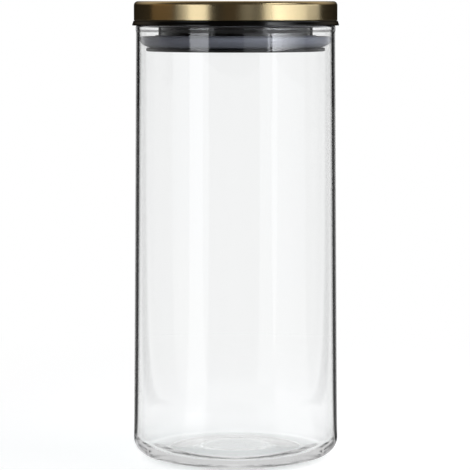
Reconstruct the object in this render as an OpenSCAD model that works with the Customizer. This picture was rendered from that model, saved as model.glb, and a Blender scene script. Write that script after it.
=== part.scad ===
// Lidded glass canister
//
// A round glass jar closed by a lift-off lid. The lid is a drawn metal cap snapped over a moulded
// insert. The insert's lip rests on the glass rim and its neck drops into the mouth, where a soft
// seal ring reaches the wall. A base plate snaps into the neck from below and traps the seal.
//
// Millimetres, +Z up. The origin is the centre of the jar's foot, on the surface it stands on.
// Every piece is turned about Z, so an outline is a list of [radius, height, corner radius].

/* [Jar] */
// Height of the glass, from the foot to the rim
jar_h = 213.6; // [120:0.2:300]
// Outer diameter of the glass at the rim, without its bead
mouth_d = 97.6; // [80:0.2:120]
// Outer diameter of the glass at the heel
heel_d = 101.2; // [82:0.2:124]
// Glass wall at the rim
mouth_wall = 1.7; // [1.2:0.1:3]
// Glass wall at the heel
heel_wall = 1.7; // [1.4:0.1:3.5]
// Height of the rounded rim bead
bead_h = 3.1; // [1.6:0.1:5]
// How far the bead stands out from the wall
bead_out = 0.2; // [0.1:0.05:0.8]

/* [Jar base] */
// Thickness of the base where it meets the heel
base_t = 4; // [3:0.1:8]
// Height of the push-up under the middle of the base
pushup_h = 2.4; // [0.5:0.1:6]
// Diameter of the flat middle of the push-up
pushup_d = 35; // [15:1:50]
// Radius that blends the push-up into the slope round it
pushup_r = 30; // [4:1:60]
// Outer diameter of the ring that the jar stands on
foot_d = 70; // [60:0.5:78]
// Width of that ring
foot_w = 3; // [2:0.1:5]
// Rise of the underside from the foot to the heel
heel_rise = 3.8; // [1:0.1:6]
// Radius of the heel outside
heel_r = 8; // [4:0.1:11]
// Radius of the heel inside
heel_inner_r = 7.5; // [3:0.1:10]

/* [Cap] */
// Height of the metal cap
cap_h = 9.5; // [7:0.1:16]
// How far the cap stands out past the glass wall at the rim
cap_out = 1; // [0.8:0.05:3]
// Thickness of the cap's sheet
cap_t = 0.6; // [0.4:0.05:1]
// Radius of the cap's top edge
cap_r = 2; // [1:0.1:4]
// Width and height of the hem rolled in at the cap's lower edge
hem_w = 1.3; // [0.9:0.05:2]

/* [Insert] */
// Height of the lip between the rim and the cap
lip_h = 2.3; // [1.8:0.1:5]
// How far the lip's lower edge flares out past the cap
lip_out = 0.8; // [0.5:0.05:2.5]
// Thickness of the deck that closes the mouth
deck_t = 1.8; // [1.2:0.1:2.4]
// Wall of the ring that locates the cap
spigot_wall = 1.6; // [1:0.1:3]
// How far the snap beads stand out, on this ring and in the neck
snap = 0.6; // [0.3:0.05:0.9]
// Depth of the neck below the rim
neck_h = 10.8; // [10:0.1:20]
// Wall of the neck
neck_wall = 1.8; // [1.2:0.1:3]
// Number of ribs that carry the cap's top
rib_n = 16; // [8:1:24]
// Thickness of the ribs
rib_t = 1.4; // [0.8:0.1:2]
// Radius of the hub that the ribs run to
hub_r = 10; // [8:0.5:14]
// Number of gussets between the deck and the neck
gusset_n = 8; // [4:1:16]
// Height and reach of the gussets
gusset = 4; // [2:0.1:4.5]

/* [Seal ring] */
// Height of the fin, from its foot to its tip
seal_h = 5.4; // [4.5:0.1:8]
// Height of the collar around the neck
collar_h = 6; // [4.5:0.1:8.5]
// How far the seal reaches, from the neck to its tip
seal_reach = 9.1; // [6:0.1:12]
// Thickness of the bowed fin
fin_t = 1.3; // [0.8:0.1:2]
// Height of the upright band at the fin's tip
tip_h = 1.6; // [0.8:0.1:3]
// Thickness of that band at its top
tip_t = 0.9; // [0.6:0.1:1.5]
// Thickness of that collar
collar_t = 1.7; // [1:0.1:2.5]

/* [Base plate] */
// Thickness of the base plate
plate_t = 1.7; // [1.2:0.1:3]
// How far the plate stands out past the neck
plate_out = 6; // [3:0.1:7.5]
// Depth of the dished middle of the plate's underside
dish = 0.4; // [0.2:0.1:0.8]
// Number of hooks that hold the plate in the neck
hook_n = 6; // [3:1:8]
// Angle that each hook spans
hook_span = 26; // [12:1:36]
// Thickness of the hooks
hook_t = 1.5; // [1:0.1:2.5]

/* [Fits] */
// Between the seal's tip and the narrowest glass it passes
seal_gap = 0.2; // [0.15:0.05:0.5]
// Between pieces that locate on each other in the lid
fit = 0.15; // [0.1:0.01:0.3]
// Between a snap bead and the face that it catches
catch_gap = 0.1; // [0.05:0.01:0.3]

/* [Hidden] */
$fn = 96;
arc_step = 7.5; // largest turn between two points of a rounded corner, in degrees

// Heights
rim_z = jar_h;
lip_top = rim_z + lip_h;
lid_top = lip_top + cap_h;
cap_under = lid_top - cap_t;
plate_top = rim_z - neck_h;
seal_top = plate_top + seal_h;

// Radii of the glass wall at a height
function outer_r(z) = (heel_d + (mouth_d - heel_d) * z / jar_h) / 2;
function wall(z) = heel_wall + (mouth_wall - heel_wall) * z / jar_h;
function inner_r(z) = outer_r(z) - wall(z);

// The seal passes every height from where it sits up to the rim, and the narrowest counts
tip_r = min(inner_r(rim_z), inner_r(plate_top)) - seal_gap;
neck_r = tip_r - seal_reach;
bore_r = neck_r - neck_wall;
plate_r = neck_r + plate_out;
cap_outer_r = mouth_d / 2 + cap_out;
cap_inner_r = cap_outer_r - cap_t;
hem_inner_r = cap_outer_r - hem_w;
spigot_r = hem_inner_r - fit;
lip_r = cap_outer_r + lip_out;

// The ledge in the neck's bore that the plate's hooks catch, and the hooks' own sizes
ledge_h = 1.2;
ledge_z = plate_top + neck_h * 0.3;
ledge_r = bore_r - snap - fit;
hook_r = ledge_r - fit;
hook_top = ledge_z + ledge_h + 2.2;

// ---------- Outlines ----------

function flat(p) = [p[0], p[1]];
function unit(v) = v / norm(v);
function turned(v, a) = [v[0] * cos(a) - v[1] * sin(a), v[0] * sin(a) + v[1] * cos(a)];

// Points that take the corner b between a and c, rounded by b's third value
function corner(a, b, c) =
    let (
        u = unit(flat(a) - flat(b)),
        v = unit(flat(c) - flat(b)),
        half = acos(max(-1, min(1, u * v))) / 2,
        turn = 180 - 2 * half
    )
    b[2] == 0 || turn < 0.5 ? [flat(b)] :
    let (
        centre = flat(b) + unit(u + v) * b[2] / sin(half),
        first = flat(b) + u * b[2] / tan(half) - centre,
        last = flat(b) + v * b[2] / tan(half) - centre,
        way = sign(cross(first, last)),
        steps = max(2, ceil(turn / arc_step))
    )
    [for (k = [0 : steps]) centre + turned(first, way * turn * k / steps)];

// Outline through [x, y, corner radius] points
function rounded(pts) =
    let (n = len(pts))
    [for (i = [0 : n - 1]) each corner(pts[(i + n - 1) % n], pts[i], pts[(i + 1) % n])];

// Quarter of an ellipse, from its outermost point down to its lowest
function lower_quarter(centre, a, b) =
    [for (t = [0 : arc_step : 90]) centre + [a * cos(t), -b * sin(t)]];

function reversed(list) = [for (i = [len(list) - 1 : -1 : 0]) list[i]];

module turn_outline(pts) {
    rotate_extrude() polygon(pts);
}

// ---------- Pieces ----------

// Blown glass: a tapering wall, a fire-polished rim bead and a pushed-up base
module glass_jar() {
    foot_r = foot_d / 2;
    bead_z = rim_z - bead_h;
    rim_round = wall(rim_z) * 0.45;
    color("#dfe9ea", 0.4) turn_outline(rounded([
        [0, pushup_h, 0],
        [pushup_d / 2, pushup_h, pushup_r],
        [foot_r - foot_w, 0, 4],
        [foot_r, 0, 8],
        [outer_r(heel_rise), heel_rise, heel_r],
        [outer_r(bead_z), bead_z, 1],
        [outer_r(bead_z) + bead_out, bead_z + bead_h * 0.4, 1.5],
        [outer_r(rim_z) + bead_out, rim_z, rim_round + bead_out / 2],
        [inner_r(rim_z), rim_z, rim_round],
        [inner_r(base_t), base_t, heel_inner_r],
        [pushup_d / 2, base_t + pushup_h, pushup_r + base_t],
        [0, base_t + pushup_h, 0],
    ]));
}

// Metal sheet drawn to a cup, its lower edge rolled inwards to a hem
module cap_shell() {
    hem_round = hem_w * 0.45;
    color("#bfa25f") turn_outline(rounded([
        [0, lid_top, 0],
        [0, cap_under, 0],
        [cap_inner_r, cap_under, cap_r - cap_t],
        [cap_inner_r, lip_top + hem_w, 0],
        [hem_inner_r, lip_top + hem_w, hem_round],
        [hem_inner_r, lip_top, hem_round],
        [cap_outer_r, lip_top, hem_round],
        [cap_outer_r, lid_top, cap_r],
    ]));
}

// Moulded insert: flared lip, deck, ring for the cap above and neck below
module lid_body() {
    color("#17171a") union() {
        turn_outline(insert_outline());
        insert_ribs();
        neck_gussets();
    }
}

function insert_outline() =
    let (
        lip_edge = 0.6,
        lip_in = cap_outer_r + 0.3,
        barb_z = lip_top + hem_w + catch_gap,
        barb_r = min(spigot_r + snap, cap_inner_r - fit)
    )
    rounded([
        [0, rim_z, 0],
        [bore_r, rim_z, 0.8],
        [bore_r, ledge_z + ledge_h, 0],
        [ledge_r, ledge_z + ledge_h, 0],
        [ledge_r, ledge_z, 0.3],
        [bore_r, ledge_z - (bore_r - ledge_r), 0],
        [bore_r, plate_top, 0.3],
        [neck_r, plate_top, 0.3],
        [neck_r, rim_z, 0.6],
        [lip_r, rim_z, 0.15],
        [lip_r, rim_z + lip_edge, 0.2],
        [lip_in, rim_z + lip_h * 0.85, 0.8],
        [lip_in, lip_top, 0.2],
        [spigot_r, lip_top, 0.2],
        [spigot_r, barb_z, 0],
        [barb_r, barb_z, 0.15],
        [barb_r, barb_z + snap, 0.3],
        [spigot_r, barb_z + 3 * snap, 0.5],
        [spigot_r, cap_under - cap_r, spigot_wall * 0.3],
        [spigot_r - spigot_wall, cap_under - cap_r, spigot_wall * 0.3],
        [spigot_r - spigot_wall, rim_z + deck_t, 0.6],
        [0, rim_z + deck_t, 0],
    ]);

// Ribs on the deck that stop the cap's top from denting, and the hub that joins them
module insert_ribs() {
    rib_h = cap_under - rim_z - deck_t / 2;
    rib_start = hub_r - rib_t / 2;
    rib_end = min(spigot_r - spigot_wall / 2, cap_outer_r - cap_r - fit);
    translate([0, 0, rim_z + deck_t / 2]) {
        for (i = [0 : rib_n - 1]) rotate(360 * i / rib_n)
            translate([rib_start, -rib_t / 2, 0]) cube([rib_end - rib_start, rib_t, rib_h]);
        difference() {
            cylinder(r = hub_r, h = rib_h);
            translate([0, 0, -1]) cylinder(r = hub_r - rib_t, h = rib_h + 2);
        }
    }
}

// Triangles in the corner between the deck's underside and the neck's bore
module neck_gussets() {
    lap = neck_wall / 2;
    for (i = [0 : gusset_n - 1]) rotate(360 * (i + 0.5) / gusset_n)
        rotate([90, 0, 0]) translate([0, 0, -rib_t / 2]) linear_extrude(rib_t) polygon([
            [bore_r - gusset, rim_z],
            [bore_r - gusset, rim_z + deck_t / 2],
            [bore_r + lap, rim_z + deck_t / 2],
            [bore_r + lap, rim_z - gusset],
            [bore_r, rim_z - gusset],
        ]);
}

// Soft ring: a collar on the neck and a fin that bows out to an upright band at the wall
module seal_ring() {
    inner = neck_r + fit;
    collar_outer = inner + collar_t;
    bow_w = tip_r - collar_outer;
    bow_h = seal_h - tip_h;
    collar_top = plate_top + collar_h;
    centre = [collar_outer, plate_top + bow_h];
    color("#62646e") turn_outline(concat(
        lower_quarter(centre, bow_w, bow_h),
        [[inner, plate_top], [inner, collar_top], [collar_outer - 0.3, collar_top]],
        reversed(lower_quarter(centre, bow_w - fin_t, bow_h - fin_t)),
        [[tip_r - tip_t, seal_top], [tip_r - 0.3, seal_top], [tip_r, seal_top - 0.4]]
    ));
}

// Disc that closes the neck, with hooks that spring over the ledge in its bore
module base_plate() {
    edge = plate_t * 0.3;
    color("#1f1f20") union() {
        turn_outline(rounded([
            [0, plate_top, 0],
            [0, plate_top - plate_t + dish, 0],
            [bore_r - 1, plate_top - plate_t + dish, 0.3],
            [bore_r - 1 + dish, plate_top - plate_t, 0.3],
            [plate_r, plate_top - plate_t, edge],
            [plate_r, plate_top, edge],
        ]));
        for (i = [0 : hook_n - 1]) rotate(360 * i / hook_n - hook_span / 2)
            rotate_extrude(angle = hook_span) polygon(hook_outline());
    }
}

function hook_outline() = [
    [hook_r - hook_t, plate_top - plate_t / 2],
    [hook_r, plate_top - plate_t / 2],
    [hook_r, ledge_z + ledge_h + catch_gap],
    [hook_r + snap, ledge_z + ledge_h + catch_gap],
    [hook_r + snap, ledge_z + ledge_h + catch_gap + 0.5],
    [hook_r - 0.3, hook_top],
    [hook_r - hook_t, hook_top],
];

glass_jar();
cap_shell();
lid_body();
seal_ring();
base_plate();
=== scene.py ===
import math

import bpy
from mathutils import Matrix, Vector

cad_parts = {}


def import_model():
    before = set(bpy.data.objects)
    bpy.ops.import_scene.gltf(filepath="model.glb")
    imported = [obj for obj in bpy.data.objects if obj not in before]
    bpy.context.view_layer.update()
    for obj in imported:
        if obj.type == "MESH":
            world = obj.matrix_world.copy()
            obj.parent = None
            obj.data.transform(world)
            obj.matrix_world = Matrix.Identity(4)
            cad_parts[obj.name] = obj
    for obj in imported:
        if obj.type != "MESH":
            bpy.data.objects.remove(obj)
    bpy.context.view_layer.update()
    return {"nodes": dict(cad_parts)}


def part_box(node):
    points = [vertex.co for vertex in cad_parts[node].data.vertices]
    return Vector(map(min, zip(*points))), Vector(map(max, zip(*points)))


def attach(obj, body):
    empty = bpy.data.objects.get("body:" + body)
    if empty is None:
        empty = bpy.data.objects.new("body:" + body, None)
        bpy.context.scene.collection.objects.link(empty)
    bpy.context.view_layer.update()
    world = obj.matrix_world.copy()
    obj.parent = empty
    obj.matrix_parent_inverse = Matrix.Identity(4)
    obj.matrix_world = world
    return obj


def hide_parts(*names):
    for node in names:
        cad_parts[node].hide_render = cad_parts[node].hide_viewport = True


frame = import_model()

MM = 0.001

# ---------------------------------------------------------------- sizes, in millimetres

JAR_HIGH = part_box("glass_jar")[1]
CAP_LOW, CAP_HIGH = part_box("cap_shell")
SEAL_LOW, SEAL_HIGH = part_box("seal_ring")

# The glass wall leans in from the heel to the mouth
RIM_Z = JAR_HIGH.z / MM
MOUTH_R = 48.8
HEEL_R = 50.6
WALL = 1.7
WAVINESS = 0.03
WAVE_LENGTH = 40.0

# The rim ends in a slight bead, fullest at BEAD_FULL of its height
BEAD_H = 3.1
BEAD_OUT = 0.2
BEAD_FULL = 0.4
BEAD_FOOT_ROUND = 1.0
BEAD_ROUND = 1.5

# The thick base is pushed up in the middle and stands on a foot ring
BASE_T = 4.0
PUSHUP_H = 2.4
PUSHUP_R = 17.5
PUSHUP_ROUND = 30.0
FOOT_R = 35.0
FOOT_W = 3.0
FOOT_INNER_ROUND = 4.0
FOOT_OUTER_ROUND = 8.0
HEEL_RISE = 3.8
HEEL_ROUND = 8.0
HEEL_INNER_ROUND = 7.5

# The cap is one sheet, rolled in at the foot
CAP_FOOT_Z = CAP_LOW.z / MM
CAP_TOP_Z = CAP_HIGH.z / MM
CAP_R = CAP_HIGH.x / MM
CAP_SHEET = 0.6
CAP_ROUND = 2.0
HEM_W = 1.3

# The seal is a collar with a bowed fin, which ends in an upright tip with a bevel
SEAL_FOOT_Z = SEAL_LOW.z / MM
SEAL_TOP_Z = SEAL_HIGH.z / MM
SEAL_TIP_R = SEAL_HIGH.x / MM
SEAL_BORE_R = 37.95
SEAL_COLLAR_T = 1.7
FIN_H = 5.4
FIN_T = 1.3
FIN_TIP_H = 1.6
FIN_TIP_T = 0.9
BEVEL_W = 0.3
BEVEL_H = 0.4

# An edge is rounded on each side by this share of its thickness
EDGE_SHARE = 0.45

# How finely outlines are divided: turns in degrees, straight runs in millimetres
SEGMENTS = 256
ARC_STEP = 5.0
LEAST_TURN = 0.5
RUN_STEP = 10.0
RUN_END = 0.3


# ---------------------------------------------------------------- outlines

def arc_corner(before, at, after, radius):
    """Points that take the corner `at`, rounded by an arc of `radius`."""
    to_before = (before - at).normalized()
    to_after = (after - at).normalized()
    half = to_before.angle(to_after) / 2
    turn = math.pi - 2 * half
    if radius == 0 or turn < math.radians(LEAST_TURN):
        return [at]
    centre = at + (to_before + to_after).normalized() * (radius / math.sin(half))
    first = at + to_before * (radius / math.tan(half)) - centre
    last = at + to_after * (radius / math.tan(half)) - centre
    way = math.copysign(1, first.x * last.y - first.y * last.x)
    steps = max(2, math.ceil(math.degrees(turn) / ARC_STEP))
    points = []
    for k in range(steps + 1):
        angle = way * turn * k / steps
        c, s = math.cos(angle), math.sin(angle)
        points.append(centre + Vector((first.x * c - first.y * s, first.x * s + first.y * c)))
    return points


def supported(outline):
    """The outline with points added along its straight runs, so that smooth shading stays true:
    one close to either end, and others evenly between."""
    points = []
    for first, last in zip(outline, outline[1:]):
        points.append(first)
        length = (last - first).length
        if length > 4 * RUN_END:
            way = (last - first) / length
            count = math.ceil((length - 2 * RUN_END) / RUN_STEP)
            for k in range(count + 1):
                points.append(first + way * (RUN_END + (length - 2 * RUN_END) * k / count))
    return points + outline[-1:]


def rounded(corners):
    """Outline through (radius, height, corner radius) corners, in millimetres."""
    flat = [Vector(c[:2]) for c in corners]
    count = len(flat)
    outline = []
    for i, corner in enumerate(corners):
        outline += arc_corner(flat[i - 1], flat[i], flat[(i + 1) % count], corner[2])
    return supported(outline)


def lower_quarter(centre, width, height):
    """Quarter of an ellipse from its outermost point down to its lowest."""
    steps = round(90 / ARC_STEP)
    angles = [math.pi / 2 * k / steps for k in range(steps + 1)]
    return [centre + Vector((width * math.cos(a), -height * math.sin(a))) for a in angles]


def wall_r(z):
    """Outer radius of the glass wall at a height."""
    return HEEL_R + (MOUTH_R - HEEL_R) * z / RIM_Z


def jar_outline():
    """The jar, from the middle of its underside out, up, over the rim and down inside."""
    bead_z = RIM_Z - BEAD_H
    rim_round = WALL * EDGE_SHARE
    return rounded([
        (0, PUSHUP_H, 0),
        (PUSHUP_R, PUSHUP_H, PUSHUP_ROUND),
        (FOOT_R - FOOT_W, 0, FOOT_INNER_ROUND),
        (FOOT_R, 0, FOOT_OUTER_ROUND),
        (wall_r(HEEL_RISE), HEEL_RISE, HEEL_ROUND),
        (wall_r(bead_z), bead_z, BEAD_FOOT_ROUND),
        (wall_r(bead_z) + BEAD_OUT, bead_z + BEAD_H * BEAD_FULL, BEAD_ROUND),
        (MOUTH_R + BEAD_OUT, RIM_Z, rim_round + BEAD_OUT / 2),
        (MOUTH_R - WALL, RIM_Z, rim_round),
        (wall_r(BASE_T) - WALL, BASE_T, HEEL_INNER_ROUND),
        (PUSHUP_R, BASE_T + PUSHUP_H, PUSHUP_ROUND + BASE_T),
        (0, BASE_T + PUSHUP_H, 0),
    ])


def cap_outline():
    """The cap, from the middle of its underside out, down round the hem and up outside."""
    under = CAP_TOP_Z - CAP_SHEET
    hem_round = HEM_W * EDGE_SHARE
    return rounded([
        (0, under, 0),
        (CAP_R - CAP_SHEET, under, CAP_ROUND - CAP_SHEET),
        (CAP_R - CAP_SHEET, CAP_FOOT_Z + HEM_W, 0),
        (CAP_R - HEM_W, CAP_FOOT_Z + HEM_W, hem_round),
        (CAP_R - HEM_W, CAP_FOOT_Z, hem_round),
        (CAP_R, CAP_FOOT_Z, hem_round),
        (CAP_R, CAP_TOP_Z, CAP_ROUND),
        (0, CAP_TOP_Z, 0),
    ])


def seal_outline():
    """The seal, from under its fin up to the tip, down inside the fin and round the collar."""
    collar_r = SEAL_BORE_R + SEAL_COLLAR_T
    fin_top = SEAL_FOOT_Z + FIN_H
    bow_w = SEAL_TIP_R - collar_r
    bow_h = FIN_H - FIN_TIP_H
    centre = Vector((collar_r, SEAL_FOOT_Z + bow_h))
    outside = lower_quarter(centre, bow_w, bow_h)
    inside = lower_quarter(centre, bow_w - FIN_T, bow_h - FIN_T)
    tip = [
        Vector((SEAL_TIP_R, fin_top - BEVEL_H)),
        Vector((SEAL_TIP_R - BEVEL_W, fin_top)),
        Vector((SEAL_TIP_R - FIN_TIP_T, fin_top)),
    ]
    collar = [
        Vector((collar_r - BEVEL_W, SEAL_TOP_Z)),
        Vector((SEAL_BORE_R, SEAL_TOP_Z)),
        Vector((SEAL_BORE_R, SEAL_FOOT_Z)),
    ]
    return supported(outside[::-1] + tip + inside + collar + outside[-1:])


# ---------------------------------------------------------------- node helpers

WHITE = (1, 1, 1, 1)


def add(tree, kind, links=None, **settings):
    """Adds a node. A link's value is another node's output, or what the socket is set to."""
    made = tree.nodes.new(kind)
    for name, value in settings.items():
        setattr(made, name, value)
    for name, value in (links or {}).items():
        if isinstance(value, bpy.types.NodeSocket):
            tree.links.new(value, made.inputs[name])
        else:
            made.inputs[name].default_value = value
    return made


def calc(tree, operation, first, second=None, **settings):
    """The number that a Math node makes of one or two numbers."""
    given = {0: first} if second is None else {0: first, 1: second}
    return add(tree, "ShaderNodeMath", given, operation=operation, **settings).outputs[0]


def vector_calc(tree, operation, first, second=None):
    """What a Vector Math node makes of one or two vectors: a vector, or a number if it measures."""
    given = {0: first} if second is None else {0: first, 1: second}
    outputs = add(tree, "ShaderNodeVectorMath", given, operation=operation).outputs
    return outputs["Value" if operation in ("LENGTH", "DISTANCE", "DOT_PRODUCT") else "Vector"]


def ranged(tree, value, start, end, first=0.0, last=1.0, **settings):
    """`first` up to `start`, `last` from `end` on, and evenly between."""
    given = {"Value": value, "From Min": start, "From Max": end, "To Min": first, "To Max": last}
    return add(tree, "ShaderNodeMapRange", given, **settings).outputs[0]


def between(tree, share, first, last):
    """`first` where the share is 0, and `last` where it is 1."""
    return ranged(tree, share, 0.0, 1.0, first, last)


def grey_ramp(tree, value, stops):
    """A grey that follows a value through (value, grey) stops, lowest first."""
    levels = add(tree, "ShaderNodeValToRGB", {"Fac": value})
    ramp = levels.color_ramp.elements
    for end, (position, grey) in zip((ramp[0], ramp[1]), (stops[0], stops[-1])):
        end.position = position
        end.color = (grey, grey, grey, 1)
    for position, grey in stops[1:-1]:
        ramp.new(position).color = (grey, grey, grey, 1)
    return levels.outputs["Color"]


def tone_between(tree, share, first, last):
    """A colour between two, by a share."""
    given = {"Factor": share, 6: first, 7: last}
    return add(tree, "ShaderNodeMix", given, data_type="RGBA").outputs[2]


def shader_between(tree, share, first, last):
    """A surface between two, by a share."""
    return add(tree, "ShaderNodeMixShader", {0: share, 1: first, 2: last}).outputs[0]


def glow(tree, strength, tint=WHITE):
    """A surface that gives off light."""
    return add(tree, "ShaderNodeEmission", {"Color": tint, "Strength": strength}).outputs[0]


def own_place(tree):
    """The place on the object, in metres, from its own origin."""
    return add(tree, "ShaderNodeTexCoord").outputs["Object"]


def cloudy(tree, place, size, detail):
    """Noise from 0 to 1, whose patches are about `size` millimetres across."""
    given = {"Vector": place, "Scale": 1 / (size * MM), "Detail": detail}
    return add(tree, "ShaderNodeTexNoise", given).outputs["Fac"]


def colour(code, alpha=1.0):
    """Linear colour of an sRGB hex code such as #c8a86a."""
    parts = [int(code[i:i + 2], 16) / 255 for i in (1, 3, 5)]
    return (*[p / 12.92 if p <= 0.04045 else ((p + 0.055) / 1.055) ** 2.4 for p in parts], alpha)


# ---------------------------------------------------------------- turned pieces

SEAM = 1e-7  # metres within which the first and last column of a turned sheet become one


def turned_tree():
    """Geometry nodes that turn an outline, given as a chain of points, about Z."""
    tree = bpy.data.node_groups.new("turned outline", "GeometryNodeTree")
    face = tree.interface
    face.new_socket("Outline", in_out="INPUT", socket_type="NodeSocketGeometry")
    face.new_socket("Segments", in_out="INPUT", socket_type="NodeSocketInt")
    face.new_socket("Material", in_out="INPUT", socket_type="NodeSocketMaterial")
    face.new_socket("Waviness", in_out="INPUT", socket_type="NodeSocketFloat")
    face.new_socket("Wave length", in_out="INPUT", socket_type="NodeSocketFloat")
    face.new_socket("Piece", in_out="OUTPUT", socket_type="NodeSocketGeometry")
    given = add(tree, "NodeGroupInput").outputs

    # A sheet with a row for each point of the outline, and a column for each segment and one more
    points = add(tree, "GeometryNodeAttributeDomainSize", {"Geometry": given["Outline"]},
                 component="MESH").outputs["Point Count"]
    columns = calc(tree, "ADD", given["Segments"], 1.0)
    sheet = add(tree, "GeometryNodeMeshGrid", {"Vertices X": points, "Vertices Y": columns})

    # Each point of the sheet goes to its row's point of the outline, turned by its column's share
    index = add(tree, "GeometryNodeInputIndex").outputs[0]
    row = calc(tree, "FLOOR", calc(tree, "DIVIDE", index, columns))
    column = calc(tree, "MODULO", index, columns)
    turn = calc(tree, "DIVIDE", column, given["Segments"])
    turn = calc(tree, "MULTIPLY", turn, -2 * math.pi)
    place = add(tree, "GeometryNodeInputPosition").outputs[0]
    corner = add(tree, "GeometryNodeSampleIndex", {"Geometry": given["Outline"], "Value": place,
                 "Index": row}, data_type="FLOAT_VECTOR", domain="POINT").outputs["Value"]
    turned = add(tree, "ShaderNodeVectorRotate", {"Vector": corner, "Axis": (0, 0, 1),
                 "Angle": turn}, rotation_type="AXIS_ANGLE").outputs[0]
    made = add(tree, "GeometryNodeSetPosition", {"Geometry": sheet.outputs["Mesh"],
               "Position": turned}).outputs[0]
    made = add(tree, "GeometryNodeMergeByDistance", {"Geometry": made,
               "Distance": SEAM}).outputs[0]

    # The wall of blown glass is never quite true: it waves by about a hundredth of a millimetre
    swirl = vector_calc(tree, "DIVIDE", place, given["Wave length"])
    wave = add(tree, "ShaderNodeTexNoise", {"Vector": swirl, "Scale": 1.0,
               "Detail": 1.0}).outputs["Fac"]
    wave = calc(tree, "SUBTRACT", wave, 0.5)
    wave = calc(tree, "MULTIPLY", wave, given["Waviness"])
    level = vector_calc(tree, "MULTIPLY", place, (1, 1, 0))
    outward = vector_calc(tree, "NORMALIZE", level)
    shift = add(tree, "ShaderNodeVectorMath", {0: outward, "Scale": wave},
                operation="SCALE").outputs[0]
    made = add(tree, "GeometryNodeSetPosition", {"Geometry": made, "Offset": shift}).outputs[0]

    # How squarely the surface looks away from the axis: 1 on an outer wall, -1 on an inner one
    normal = add(tree, "GeometryNodeInputNormal").outputs[0]
    square = vector_calc(tree, "DOT_PRODUCT", normal, outward)
    made = add(tree, "GeometryNodeStoreNamedAttribute", {"Geometry": made, "Name": "outward",
               "Value": square}, data_type="FLOAT", domain="POINT").outputs[0]
    made = add(tree, "GeometryNodeSetShadeSmooth", {"Geometry": made}).outputs[0]
    made = add(tree, "GeometryNodeRealizeInstances", {"Geometry": made}).outputs[0]
    made = add(tree, "GeometryNodeSetMaterial", {"Geometry": made,
               "Material": given["Material"]}).outputs[0]
    add(tree, "NodeGroupOutput", {"Piece": made})
    return tree


def turned_piece(name, outline, material, waviness=0.0):
    """A plain mesh of the outline turned about Z, made by the geometry nodes above."""
    points = [(p.x * MM, 0, p.y * MM) for p in outline]
    chain = bpy.data.meshes.new(name)
    chain.from_pydata(points, [(i, i + 1) for i in range(len(points) - 1)], [])
    maker = bpy.data.objects.new(name + "_outline", chain)
    bpy.context.scene.collection.objects.link(maker)
    tree = bpy.data.node_groups.get("turned outline") or turned_tree()
    nodes = maker.modifiers.new("turn", "NODES")
    nodes.node_group = tree
    values = {"Segments": SEGMENTS, "Material": material, "Waviness": waviness * MM,
              "Wave length": WAVE_LENGTH * MM}
    for item in tree.interface.items_tree:
        if item.in_out == "INPUT" and item.name in values:
            nodes[item.identifier] = values[item.name]
    graph = bpy.context.evaluated_depsgraph_get()
    mesh = bpy.data.meshes.new_from_object(maker.evaluated_get(graph), depsgraph=graph)
    bpy.data.objects.remove(maker)
    mesh.name = name
    piece = bpy.data.objects.new(name, mesh)
    bpy.context.scene.collection.objects.link(piece)
    return piece


# ---------------------------------------------------------------- materials

NOISE_MOST = (0.3, 0.7)  # where a noise from 0 to 1 has most of its values


def new_material(name):
    """A material with an empty node tree, and that tree."""
    material = bpy.data.materials.new(name)
    material.use_nodes = True
    material.node_tree.nodes.clear()
    return material, material.node_tree


def blown_glass():
    """Clear borosilicate glass: sharp reflections, and a dark line of painted shade in its colour
    just inside each upright edge.
    """
    material, tree = new_material("clear blown borosilicate glass")
    # Just inside the upright edges the wall bends the dark beside the object into view, and there
    # the glass's colour is darkened as well, as painted shade.
    # There the facing value nears the one at which the line of sight only grazes the bore.
    grazing = (0.6, 0.8)
    painted_edge_shade = ((0.1, 1.0), (0.24, 0.95), (0.38, 0.8), (0.53, 0.6), (0.7, 0.4), (0.9, 1.0))
    upright = (0.5, 0.8)
    facing = add(tree, "ShaderNodeLayerWeight", {"Blend": 0.5}).outputs["Facing"]
    # Painted shade: a ramp of greys, picked by the facing value, darkens the colour near the edges
    edge = grey_ramp(tree, ranged(tree, facing, *grazing), painted_edge_shade)
    outward = add(tree, "ShaderNodeAttribute", attribute_name="outward").outputs["Fac"]
    outside = ranged(tree, outward, *upright)
    # The outer wall takes the painted shade in its colour; the inner wall keeps the plain glass
    # colour
    tint = tone_between(tree, outside, colour("#fdfefe"), edge)
    glass = add(tree, "ShaderNodeBsdfPrincipled", {"Base Color": tint, "Roughness": 0.0,
                "IOR": 1.47, "Transmission Weight": 1.0}).outputs[0]
    # Light passes straight through to what lies in the shadow, so that the shadow stays pale
    clear = add(tree, "ShaderNodeBsdfTransparent", {"Color": colour("#f4f7f7")}).outputs[0]
    shadow = add(tree, "ShaderNodeLightPath").outputs["Is Shadow Ray"]
    shown = shader_between(tree, shadow, glass, clear)
    add(tree, "ShaderNodeOutputMaterial", {"Surface": shown})
    return material


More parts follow.
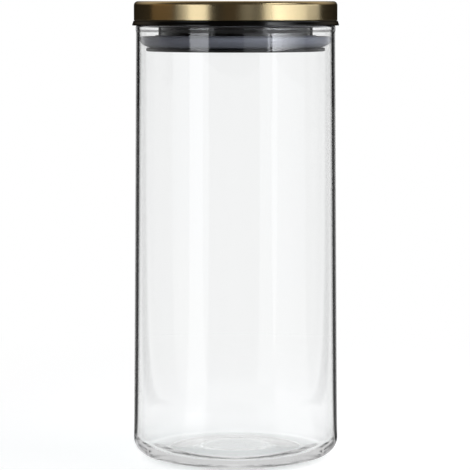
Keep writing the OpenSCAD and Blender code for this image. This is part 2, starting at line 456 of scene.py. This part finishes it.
def brushed_brass_steel():
    """Brass-toned steel brushed round and round: soft upright bands of light, fine level lines."""
    material, tree = new_material("brushed brass-toned stainless steel")
    # Brush lines lie about 0.3 mm apart, coarser than real so that they show, and run 40 degrees
    line_pitch = 0.3 * MM
    lines_per_radian = 1.5
    place = own_place(tree)
    parts = add(tree, "ShaderNodeSeparateXYZ", {0: place}).outputs
    level = vector_calc(tree, "MULTIPLY", place, (1, 1, 0))
    radius = vector_calc(tree, "LENGTH", level)
    turn = calc(tree, "ARCTAN2", parts["Y"], parts["X"])
    along = calc(tree, "MULTIPLY", turn, lines_per_radian)
    across = calc(tree, "ADD", radius, parts["Z"])
    across = calc(tree, "MULTIPLY", across, 1 / line_pitch)
    lines = add(tree, "ShaderNodeCombineXYZ", {0: along, 1: across}).outputs[0]
    brush = add(tree, "ShaderNodeTexNoise", {"Vector": lines, "Scale": 1.0, "Detail": 3.0,
                "Roughness": 0.6}).outputs["Fac"]
    tone = tone_between(tree, brush, colour("#e0ca98"), colour("#e4cf9f"))
    rough = ranged(tree, brush, *NOISE_MOST, first=0.23, last=0.27)
    bump = add(tree, "ShaderNodeBump", {"Height": brush, "Strength": 0.03,
               "Distance": 0.02 * MM}).outputs[0]
    around = add(tree, "ShaderNodeTangent", direction_type="RADIAL", axis="Z").outputs[0]
    # A clear lacquer lies over the brushed metal
    metal = add(tree, "ShaderNodeBsdfPrincipled", {"Base Color": tone, "Metallic": 1.0,
                "Roughness": rough, "Anisotropic": 0.6, "Anisotropic Rotation": 0.25,
                "Coat Weight": 1.0, "Coat Roughness": 0.2, "Normal": bump, "Tangent": around})
    add(tree, "ShaderNodeOutputMaterial", {"Surface": metal.outputs[0]})
    return material


def moulded_black(name, code, roughness):
    """Black polypropylene from a spark-eroded mould: deep black with a low satin sheen."""
    material, tree = new_material(name)
    place = own_place(tree)
    grain = cloudy(tree, place, size=0.4, detail=2.0)
    cloud = cloudy(tree, place, size=25, detail=2.0)
    tone = tone_between(tree, cloud, colour(code), colour("#080809"))
    rough = ranged(tree, cloud, *NOISE_MOST, first=roughness - 0.05, last=roughness + 0.05)
    bump = add(tree, "ShaderNodeBump", {"Height": grain, "Strength": 0.15,
               "Distance": 0.05 * MM}).outputs[0]
    plastic = add(tree, "ShaderNodeBsdfPrincipled", {"Base Color": tone, "Roughness": rough,
                  "IOR": 1.49, "Normal": bump})
    add(tree, "ShaderNodeOutputMaterial", {"Surface": plastic.outputs[0]})
    return material


def moulded_silicone():
    """Grey food-grade silicone: matte, faintly waxy, a little cloudy, with fine clinging dust."""
    material, tree = new_material("moulded grey silicone")
    place = own_place(tree)
    cloud = cloudy(tree, place, size=12, detail=3.0)
    dust = cloudy(tree, place, size=0.5, detail=2.0)
    tone = tone_between(tree, cloud, colour("#9092a0"), colour("#9ea0ae"))
    bump = add(tree, "ShaderNodeBump", {"Height": dust, "Strength": 0.2,
               "Distance": 0.04 * MM}).outputs[0]
    rubber = add(tree, "ShaderNodeBsdfPrincipled", {"Base Color": tone, "Roughness": 0.5,
                 "IOR": 1.41, "Sheen Weight": 0.1, "Normal": bump})
    add(tree, "ShaderNodeOutputMaterial", {"Surface": rubber.outputs[0]})
    return material


# ---------------------------------------------------------------- studio, in metres and degrees

CAMERA_BACK = 1.1837
CAMERA_LEFT = 0.0003
CAMERA_BELOW_TOP = 0.0022
CAMERA_DOWN = 5.44
CAMERA_LENS = 184.4
CAMERA_SENSOR = 36.0

# The room that metal and plastic mirror: dark low down, lighter overhead and behind the object.
# A level changes between the two values of a pair such as ROOM_RISE, which are the upward parts
# of a direction, or its backward parts for MIRRORED_TURN.
ROOM_LOW = 0.012
ROOM_HIGH = 0.22
ROOM_RISE = (0.1, 0.5)
MIRRORED_FRONT = 0.05
MIRRORED_BACK = 0.45
MIRRORED_TURN = (0.15, 0.5)
WARM_TINT = (1, 0.75, 0.4, 1)
WARM_RISE = (0.05, 0.3)
WARM_LOW = 1.0
WARM_HIGH = 0.5

# What clear glass mirrors or bends into view. BESIDE gives a grey for each bearing from straight
# behind the object: the white backdrop, a dark gap, a grey card and the dark room. From CARD_END
# to ROOM_START the pale floor ahead comes in, below the horizon. A ray that has passed fewer
# surfaces than FIRST_WALL has met the near wall only.
GLASS_CEILING = 0.03
CARD = 0.45
CARD_END = 75
ROOM_START = 95
BESIDE = ((3, 1.0), (18, 0.0), (33, 0.0), (40, 2 * CARD), (55, CARD), (CARD_END, CARD),
          (ROOM_START, 0.0))
FRONT = 0.3
HORIZON = (-0.006, -0.002)
FIRST_WALL = 2.5

# The sweep, by distance from its middle: a painted shadow under the jar, where it glows less, the
# shadow and the white beyond
FLOOR_HALF = 4.0
PAINTED_SHADOW_FADE = (0.034, 0.048)
SHADOW_FADE = (0.12, 0.45)
PAINTED_SHADOW_LIFT = 0.32
LIFT_NEAR = 0.675

# The sweep as a reflection. Bearings on it start at the jar's sides, SIDE_X from the middle, and
# the palest part is round a point NEAR_Y ahead of the middle.
FLOOR_IN_METAL = 0.04
PALE_NEAR = 0.62
NEAR_Y = 0.035
NEAR_FADE = (0.08, 0.1)
SIDE_X = 0.045

# The screens stand on one circle, and each fills one of these spans of height. The jar mirrors
# LOW in its wall and STRIP round the neck of the lid, and the others are there for the lid.
SCREEN_R = 0.9
SCREEN_STEPS = 24
STRIP_LOW = 0.199
STRIP_HIGH = 0.224
LOW = (-0.25, STRIP_LOW)
STRIP = (STRIP_LOW, STRIP_HIGH)
HIGH = (STRIP_HIGH, 0.5)
LAMP = (0.78, 1.15)
OVERHEAD = (0.4, 1.0)

# Bearings of the screens start at the camera's side and grow to the right. The fields are the
# brightness of the sweep before a screen, from its first bearing to its second.
LEFT_BOX = (-52.8, -30.2)
RIGHT_BOX = (41.5, 85)
LEFT_FIELD = (0.6, 0.6)
RIGHT_FIELD = (0.6, 0.4)
FIELD_EDGE = 0.3
COOL = "#f9fbff"
WARM = "#ffd9a6"


def camera():
    """A long lens, level with the cap and tipped slightly down."""
    data = bpy.data.cameras.new("camera")
    data.lens = CAMERA_LENS
    data.sensor_width = CAMERA_SENSOR
    view = bpy.data.objects.new("camera", data)
    view.location = (-CAMERA_LEFT, -CAMERA_BACK, CAP_HIGH.z - CAMERA_BELOW_TOP)
    view.rotation_euler = (math.pi / 2 - math.radians(CAMERA_DOWN), 0, 0)
    bpy.context.scene.collection.objects.link(view)
    bpy.context.scene.camera = view


def seen_straight(tree):
    """1 for rays straight from the camera or through clear glass, 0 once they were reflected."""
    path = add(tree, "ShaderNodeLightPath").outputs
    kind = calc(tree, "MAXIMUM", path["Is Camera Ray"], path["Is Transmission Ray"])
    turns = calc(tree, "ADD", path["Glossy Depth"], path["Diffuse Depth"])
    return calc(tree, "SUBTRACT", kind, turns, use_clamp=True)


def seen_in_glass(tree):
    """1 for rays that clear glass mirrors or passes on, 0 for those from metal or plastic."""
    path = add(tree, "ShaderNodeLightPath").outputs
    return calc(tree, "SUBTRACT", path["Is Singular Ray"], path["Diffuse Depth"], use_clamp=True)


def surroundings(tree, across, back, front):
    """What glass finds round the object: BESIDE, and `front` towards the camera."""
    bearing = calc(tree, "ARCTAN2", across, back)
    half_turn = calc(tree, "MULTIPLY", bearing, 1 / math.pi)
    beside = grey_ramp(tree, half_turn, [(degrees / 180, grey) for degrees, grey in BESIDE])
    ahead = ranged(tree, half_turn, CARD_END / 180, ROOM_START / 180, 0.0, front)
    return calc(tree, "ADD", beside, ahead)


def lit_fields(tree, across, back):
    """The two pale fields that glass finds on the sweep, before the left and right screens."""
    ahead = calc(tree, "MULTIPLY", back, -1.0)
    bearing = calc(tree, "ARCTAN2", across, ahead)
    share = ranged(tree, bearing, -math.pi, math.pi)
    stops = [(0.0, 0.0)]
    for (start, end), (first, last) in ((LEFT_BOX, LEFT_FIELD), (RIGHT_BOX, RIGHT_FIELD)):
        edges = ((start - FIELD_EDGE, 0.0), (start, first), (end, last), (end + FIELD_EDGE, 0.0))
        stops += [(0.5 + degrees / 360, grey) for degrees, grey in edges]
    return grey_ramp(tree, share, stops + [(1.0, 0.0)])


def world():
    """White behind the object; a dim, warm room for what the metal and the plastic mirror."""
    sky = bpy.data.worlds.new("studio")
    sky.use_nodes = True
    tree = sky.node_tree
    tree.nodes.clear()
    path = add(tree, "ShaderNodeLightPath").outputs
    way = add(tree, "ShaderNodeTexCoord").outputs["Generated"]
    way = add(tree, "ShaderNodeSeparateXYZ", {0: way}).outputs
    glass = seen_in_glass(tree)
    metal = calc(tree, "SUBTRACT", path["Is Glossy Ray"], glass, use_clamp=True)
    ceiling = between(tree, glass, ROOM_HIGH, GLASS_CEILING)
    # The metal's level top finds the light part of the room, behind the object
    mirrored = ranged(tree, way["Y"], *MIRRORED_TURN, MIRRORED_FRONT, MIRRORED_BACK)
    ceiling = between(tree, metal, ceiling, mirrored)
    room = ranged(tree, way["Z"], *ROOM_RISE, ROOM_LOW, ceiling)
    warm = ranged(tree, way["Z"], *WARM_RISE, WARM_LOW, WARM_HIGH)
    warm = calc(tree, "MULTIPLY", warm, metal)
    warmth = tone_between(tree, warm, WHITE, WARM_TINT)
    dim = add(tree, "ShaderNodeBackground", {"Color": warmth, "Strength": room}).outputs[0]
    white = add(tree, "ShaderNodeBackground", {"Color": WHITE, "Strength": 1.0}).outputs[0]
    # Glass finds the white backdrop in a narrow sector behind the object, and the dark beside it
    across = calc(tree, "ABSOLUTE", way["X"])
    below = ranged(tree, way["Z"], *HORIZON, FRONT, 0.0)
    # Only the near wall shows the pale floor ahead; what stands behind it doesn't
    first = calc(tree, "LESS_THAN", path["Transmission Depth"], FIRST_WALL)
    below = calc(tree, "MULTIPLY", below, first)
    found = surroundings(tree, across, way["Y"], below)
    found = calc(tree, "MULTIPLY", found, glass)
    clear = calc(tree, "MAXIMUM", found, seen_straight(tree))
    seen = shader_between(tree, clear, dim, white)
    add(tree, "ShaderNodeOutputWorld", {"Surface": seen})
    bpy.context.scene.world = sky


def plain_sweep(tree, place):
    """The sweep as seen directly: paper close by, which takes the shadow, with a painted shadow
    under the jar, and white far off.
    """
    away = vector_calc(tree, "LENGTH", place)
    far = ranged(tree, away, *SHADOW_FADE, interpolation_type="SMOOTHSTEP")
    # Painted shadow: the paper's glow is lower under the jar
    under = ranged(tree, away, *PAINTED_SHADOW_FADE, PAINTED_SHADOW_LIFT, LIFT_NEAR)
    paper = add(tree, "ShaderNodeBsdfDiffuse", {"Color": colour("#e8e8e8")}).outputs[0]
    near = add(tree, "ShaderNodeAddShader", {0: paper, 1: glow(tree, under)}).outputs[0]
    return shader_between(tree, far, near, glow(tree, 1.0))


def mirrored_sweep(tree, place):
    """The sweep as a reflection: dark in metal, paler in glass, and palest close to the jar."""
    parts = add(tree, "ShaderNodeSeparateXYZ", {0: place}).outputs
    across = calc(tree, "ABSOLUTE", parts["X"])
    across = calc(tree, "SUBTRACT", across, SIDE_X)
    across = calc(tree, "MAXIMUM", across, 0.0)
    level = surroundings(tree, across, parts["Y"], FRONT)
    level = calc(tree, "ADD", level, lit_fields(tree, parts["X"], parts["Y"]))
    level = calc(tree, "MULTIPLY", seen_in_glass(tree), level)
    level = calc(tree, "ADD", level, FLOOR_IN_METAL)
    from_near = vector_calc(tree, "DISTANCE", place, (0, -NEAR_Y, 0))
    beyond = ranged(tree, from_near, *NEAR_FADE)
    return shader_between(tree, beyond, glow(tree, PALE_NEAR), glow(tree, level))


def floor():
    """A pale sweep: it takes the object's shadow close by and fades into plain white."""
    material, tree = new_material("white sweep")
    place = own_place(tree)
    shown = shader_between(tree, seen_straight(tree), mirrored_sweep(tree, place),
                           plain_sweep(tree, place))
    add(tree, "ShaderNodeOutputMaterial", {"Surface": shown})
    material.cycles.emission_sampling = "NONE"
    mesh = bpy.data.meshes.new("floor")
    signs = ((-1, -1), (1, -1), (1, 1), (-1, 1))
    mesh.from_pydata([(x * FLOOR_HALF, y * FLOOR_HALF, 0) for x, y in signs], [], [(0, 1, 2, 3)])
    mesh.materials.append(material)
    ground = bpy.data.objects.new("floor", mesh)
    bpy.context.scene.collection.objects.link(ground)


def light_screen(name, bearings, heights, strengths, fade=1.0, tint=COOL, in_glass=1.0, top=1.0):
    """A curved, glowing screen round the object, between two bearings from the camera's side.
    Its strength runs from the first bearing's to the second's; `fade` above 1 drops it early.
    Clear glass shows `in_glass` of it, and `top` of it is left at the upper edge."""
    material, tree = new_material(name)
    from_deg, to_deg = bearings
    parts = add(tree, "ShaderNodeSeparateXYZ", {0: own_place(tree)}).outputs
    ahead = calc(tree, "MULTIPLY", parts["Y"], -1.0)
    bearing = calc(tree, "ARCTAN2", parts["X"], ahead)
    share = ranged(tree, bearing, math.radians(to_deg), math.radians(from_deg))
    share = calc(tree, "POWER", share, fade)
    strength = between(tree, share, strengths[1], strengths[0])
    shown = between(tree, seen_in_glass(tree), 1.0, in_glass)
    strength = calc(tree, "MULTIPLY", strength, shown)
    raised = ranged(tree, parts["Z"], *heights, 1.0, top)
    strength = calc(tree, "MULTIPLY", strength, raised)
    add(tree, "ShaderNodeOutputMaterial", {"Surface": glow(tree, strength, colour(tint))})
    points = []
    for k in range(SCREEN_STEPS + 1):
        angle = math.radians(from_deg + (to_deg - from_deg) * k / SCREEN_STEPS)
        x, y = SCREEN_R * math.sin(angle), -SCREEN_R * math.cos(angle)
        points += [(x, y, heights[0]), (x, y, heights[1])]
    faces = [(2 * k, 2 * k + 1, 2 * k + 3, 2 * k + 2) for k in range(SCREEN_STEPS)]
    mesh = bpy.data.meshes.new(name)
    mesh.from_pydata(points, [], faces)
    mesh.materials.append(material)
    screen = bpy.data.objects.new(name, mesh)
    bpy.context.scene.collection.objects.link(screen)
    screen.visible_camera = False
    screen.visible_shadow = False
    return screen


def lights():
    """Low screens for the wall of the jar, a bright strip at the neck, high ones for the cap."""
    light_screen("left_low", LEFT_BOX, LOW, (1.0, 1.0))
    light_screen("left_high", LEFT_BOX, HIGH, (2.1, 2.1), in_glass=0.4, top=0.1)
    light_screen("left_fringe", (-70, LEFT_BOX[0]), HIGH, (0.25, 2.35), in_glass=0.04, top=0.1)
    light_screen("left_strip", LEFT_BOX, STRIP, (2.9, 2.9))
    light_screen("right_low", RIGHT_BOX, LOW, (1.0, 0.7))
    light_screen("right_high", (31, 106), HIGH, (2.7, 1.45), in_glass=0.55, top=0.1)
    light_screen("right_lamp", (39, 84), LAMP, (3.7, 0.9), in_glass=0.05)
    # Lights the rubber and the floor from above, unseen in the metal and the glass
    above = light_screen("right_top", (60, 110), OVERHEAD, (3.3, 3.3))
    above.visible_glossy = False
    above.visible_transmission = False
    light_screen("front_high", (4, 19), HIGH, (0.42, 0.42), in_glass=0.08, top=0.2)
    light_screen("front_dim", (-14, 4), HIGH, (0.1, 0.1), tint=WARM, in_glass=0.1, top=0.3)
    light_screen("front_right", (19, 31), HIGH, (0.13, 0.13), in_glass=0.1)
    light_screen("left_wall", (-106, -72), HIGH, (0.26, 0.26), tint=WARM, in_glass=0.1)
    light_screen("right_strip", RIGHT_BOX, STRIP, (7.5, 0.8), fade=1.6)
    light_screen("right_frame", (36.3, 39.6), STRIP, (3.4, 3.4))
    light_screen("front_strip", (9, 36.3), STRIP, (0.55, 0.55))


# ---------------------------------------------------------------- the object

def finish_node(name, material):
    """Gives a carried-over node its real finish."""
    mesh = frame["nodes"][name].data
    mesh.materials.clear()
    mesh.materials.append(material)


def build():
    """The jar, cap and seal are turned anew; the insert and the disc get a finish."""
    jar = turned_piece("jar_glass", jar_outline(), blown_glass(), WAVINESS)
    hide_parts("glass_jar")
    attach(jar, "jar")

    cap = turned_piece("metal_cap", cap_outline(), brushed_brass_steel())
    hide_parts("cap_shell")
    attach(cap, "lid")

    seal = turned_piece("silicone_seal", seal_outline(), moulded_silicone())
    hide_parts("seal_ring")
    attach(seal, "lid")

    finish_node("lid_body", moulded_black("satin black polypropylene", "#030303", 0.14))
    finish_node("base_plate", moulded_black("plain black polypropylene", "#070707", 0.4))


# Light turns many times inside the thick base and the rim before it leaves the glass
BOUNCES = 32

scene = bpy.context.scene
scene.view_settings.view_transform = "Standard"
scene.cycles.max_bounces = BOUNCES
scene.cycles.glossy_bounces = BOUNCES
scene.cycles.transmission_bounces = BOUNCES
camera()
world()
floor()
lights()
build()
